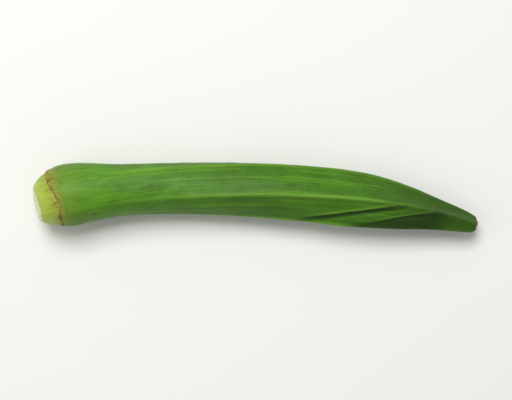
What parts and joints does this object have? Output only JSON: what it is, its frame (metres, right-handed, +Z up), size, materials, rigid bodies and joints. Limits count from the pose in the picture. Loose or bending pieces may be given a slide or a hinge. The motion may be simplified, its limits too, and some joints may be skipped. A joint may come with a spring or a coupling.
{
  "type": "okra pod",
  "caption": "Fresh green okra pod lying on its side: a slender ridged seed pod, gently bowed, with a pale domed stem cap and cut stalk at one end and a blunt tip at the other.",
  "frame": {"origin": "centre of the bounding box seen from above, at the height of the lowest point, on the surface that the pod lies on", "axes": "+X from the cut stalk to the tip, +Y to the side that the pod bows towards, +Z up"},
  "size_m": [0.1158, 0.0194, 0.0162],
  "materials": {
    "pod_skin": "soft semi-matte plant skin with fine pale down",
    "stem_cap_skin": "smooth pale plant skin, dry and fibrous on the cut face of the stalk"
  },
  "bodies": {
    "root": {"pod": "pod_skin", "stem_cap": "stem_cap_skin"}
  },
  "joints": []
}
